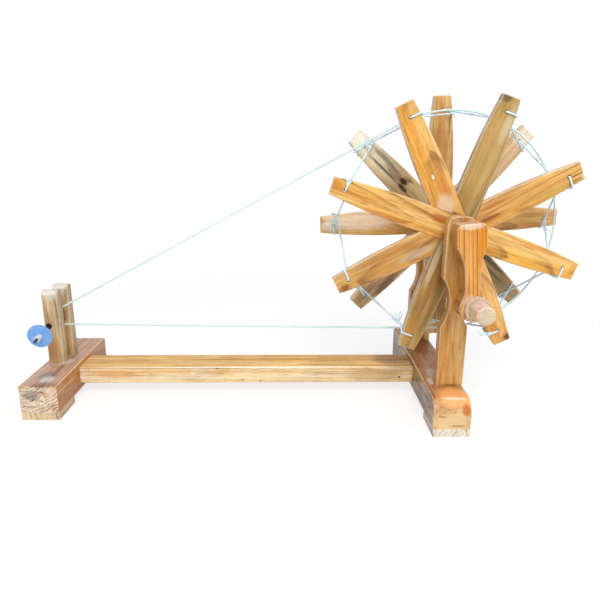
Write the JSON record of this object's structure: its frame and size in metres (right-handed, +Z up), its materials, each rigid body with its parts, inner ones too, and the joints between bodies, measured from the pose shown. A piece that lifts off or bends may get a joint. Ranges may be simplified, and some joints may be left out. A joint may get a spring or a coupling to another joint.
{
  "type": "table spinning wheel",
  "caption": "Wooden table-top spinning wheel: a cranked spoke wheel with a laced cord rim drives a tilted spindle through an endless band.",
  "frame": {"origin": "middle of the part's bounding box in plan, on the table the feet stand on", "axes": "+X along the beam from the spindle to the wheel, +Y from the crank side to the back, +Z up"},
  "size_m": [0.4562, 0.1904, 0.2587],
  "materials": {
    "frame_wood": "varnished, pinkish brown",
    "pad_wood": "varnished, pale",
    "beam_wood": "varnished, honey",
    "post_wood": "varnished, honey",
    "front_spoke_wood": "varnished, orange",
    "rear_spoke_wood": "varnished, tan",
    "spacer_wood": "varnished, brown",
    "crank_wood": "varnished, striped",
    "knob_wood": "turned and varnished",
    "whorl_wood": "turned and varnished",
    "steel": "drawn rod",
    "bush_plastic": "smooth black",
    "disc_plastic": "translucent blue",
    "sleeve_plastic": "smooth white",
    "band_cord": "twisted thread",
    "lace_cord": "twisted thread"
  },
  "bodies": {
    "root": {"left_foot": "frame_wood", "right_foot": "frame_wood", "left_front_pad": "pad_wood", "left_rear_pad": "pad_wood", "right_front_pad": "pad_wood", "right_rear_pad": "pad_wood", "beam": "beam_wood", "front_wheel_post": "post_wood", "rear_wheel_post": "post_wood", "front_spindle_post": "post_wood", "rear_spindle_post": "post_wood", "front_spindle_bush": "bush_plastic", "rear_spindle_bush": "bush_plastic", "drive_band": "band_cord"},
    "wheel": {"front_spoke_plank_1": "front_spoke_wood", "front_spoke_plank_2": "front_spoke_wood", "front_spoke_plank_3": "front_spoke_wood", "front_spoke_plank_4": "front_spoke_wood", "rear_spoke_plank_1": "rear_spoke_wood", "rear_spoke_plank_2": "rear_spoke_wood", "rear_spoke_plank_3": "rear_spoke_wood", "rear_spoke_plank_4": "rear_spoke_wood", "hub_block": "rear_spoke_wood", "axle": "steel", "front_spacer": "spacer_wood", "rear_spacer": "spacer_wood", "crank_spacer": "spacer_wood", "crank_arm": "crank_wood", "rim_lacing": "lace_cord"},
    "knob": {"crank_knob": "knob_wood", "knob_pin": "steel"},
    "spindle": {"spindle_rod": "steel", "whorl": "whorl_wood", "yarn_disc": "disc_plastic", "disc_sleeve": "sleeve_plastic"}
  },
  "joints": [
    {"name": "wheel_spin", "type": "hinge", "parent": "root", "child": "wheel", "pos_m": [0.12421, 0, 0.1548], "axis": [0, 1, 0], "continuous": true},
    {"name": "knob_spin", "type": "hinge", "parent": "wheel", "child": "knob", "pos_m": [0.13278, -0.08, 0.10137], "axis": [0, 1, 0], "continuous": true},
    {"name": "spindle_spin", "type": "hinge", "parent": "root", "child": "spindle", "pos_m": [-0.21779, 0.01315, 0.0677], "axis": [0, 0.9877, 0.1564], "continuous": true}
  ],
  "couplings": [
    {"joint": "spindle_spin", "follows": "wheel_spin", "ratio": 15.064}
  ]
}
